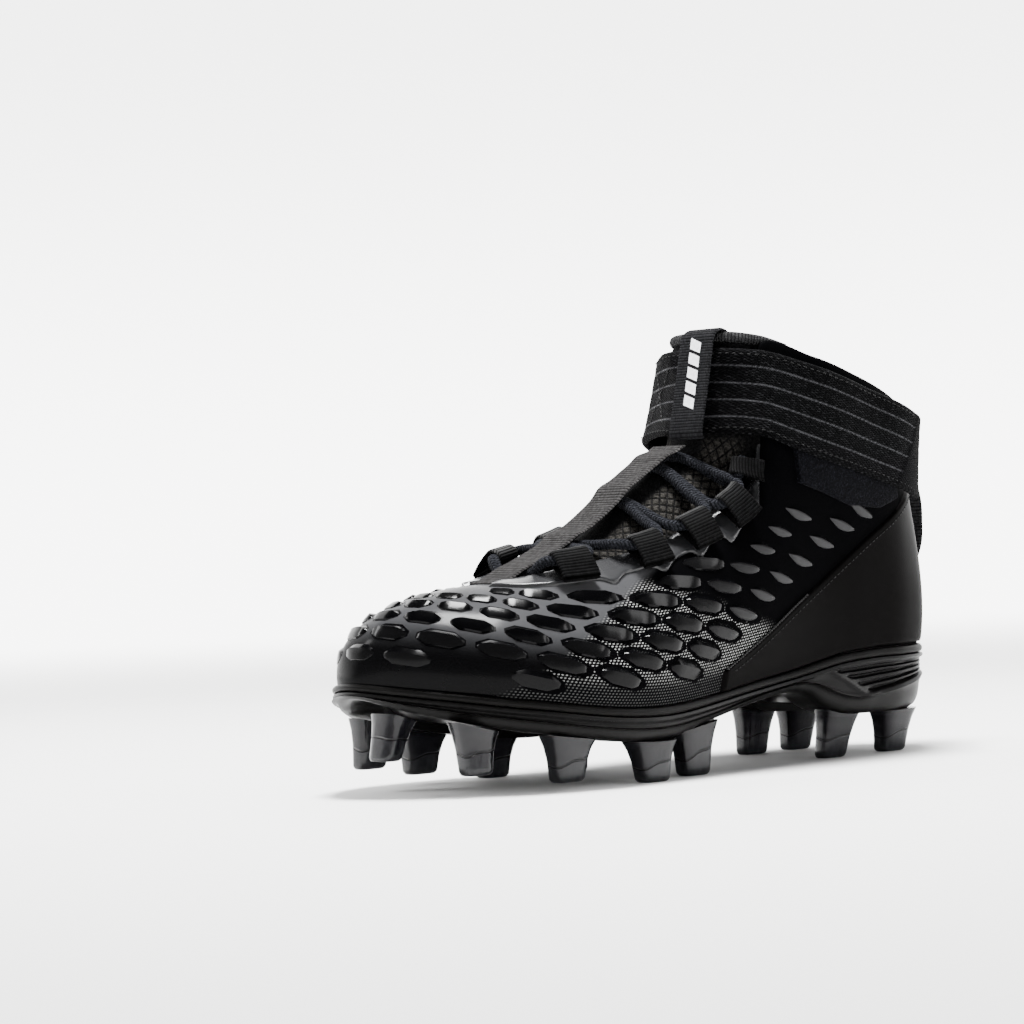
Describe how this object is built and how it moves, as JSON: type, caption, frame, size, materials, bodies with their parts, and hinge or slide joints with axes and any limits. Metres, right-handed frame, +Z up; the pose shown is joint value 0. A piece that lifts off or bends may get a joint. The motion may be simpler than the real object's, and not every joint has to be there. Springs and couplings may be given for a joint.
{
  "type": "american football cleat",
  "caption": "Left football cleat with hollow upper, padded collar, webbing-loop lacing, elastic ankle strap, pull tabs and a moulded plate with blade studs.",
  "frame": {"origin": "centre of the bounding box seen from above, on the ground plane under the studs", "axes": "+Y towards the heel, -Y towards the toe, +X towards the shoe's outer side, +Z up"},
  "size_m": [0.1072, 0.3142, 0.1828],
  "materials": {
    "plate_plastic": "glossy moulded nylon, satin on the ribbed heel sides",
    "midsole_foam": "satin dense foam band",
    "insole_foam": "brushed fabric over foam",
    "upper_film": "knit textile under a moulded film with raised glossy cells",
    "tongue_knit": "padded knit with a honeycomb texture",
    "counter_film": "smooth satin film",
    "eyestay_film": "glossy film",
    "loop_pile": "fuzzy pile of a hook-and-loop fastening",
    "webbing": "ribbed woven webbing",
    "strap_elastic": "heathered woven elastic with thin shiny lines",
    "tab_webbing": "fine woven tape",
    "lace_cord": "oval braided cord",
    "stud_plastic": "smoky translucent moulded plastic with clearer tips"
  },
  "bodies": {
    "root": {"outsole_plate": "plate_plastic", "midsole": "midsole_foam", "insole": "insole_foam", "upper": "upper_film", "tongue": "tongue_knit", "heel_counter": "counter_film", "eyestay_outer": "eyestay_film", "eyestay_inner": "eyestay_film", "strap_loop_patch": "loop_pile", "centre_webbing": "webbing", "ankle_strap": "strap_elastic", "front_pull_tab": "tab_webbing", "heel_pull_loop": "tab_webbing", "lace": "lace_cord", "lace_loop_outer_1": "webbing", "lace_loop_outer_2": "webbing", "lace_loop_outer_3": "webbing", "lace_loop_outer_4": "webbing", "lace_loop_outer_5": "webbing", "lace_loop_inner_1": "webbing", "lace_loop_inner_2": "webbing", "lace_loop_inner_3": "webbing", "lace_loop_inner_4": "webbing", "lace_loop_inner_5": "webbing", "stud_heel_outer_rear": "stud_plastic", "stud_heel_outer_front": "stud_plastic", "stud_heel_inner_rear": "stud_plastic", "stud_heel_inner_front": "stud_plastic", "stud_ball_outer_rear": "stud_plastic", "stud_ball_outer_middle": "stud_plastic", "stud_ball_outer_front": "stud_plastic", "stud_toe_outer": "stud_plastic", "stud_toe_tip": "stud_plastic", "stud_toe_inner": "stud_plastic", "stud_ball_inner_front": "stud_plastic", "stud_ball_inner_middle": "stud_plastic", "stud_ball_inner_rear": "stud_plastic"}
  },
  "joints": []
}
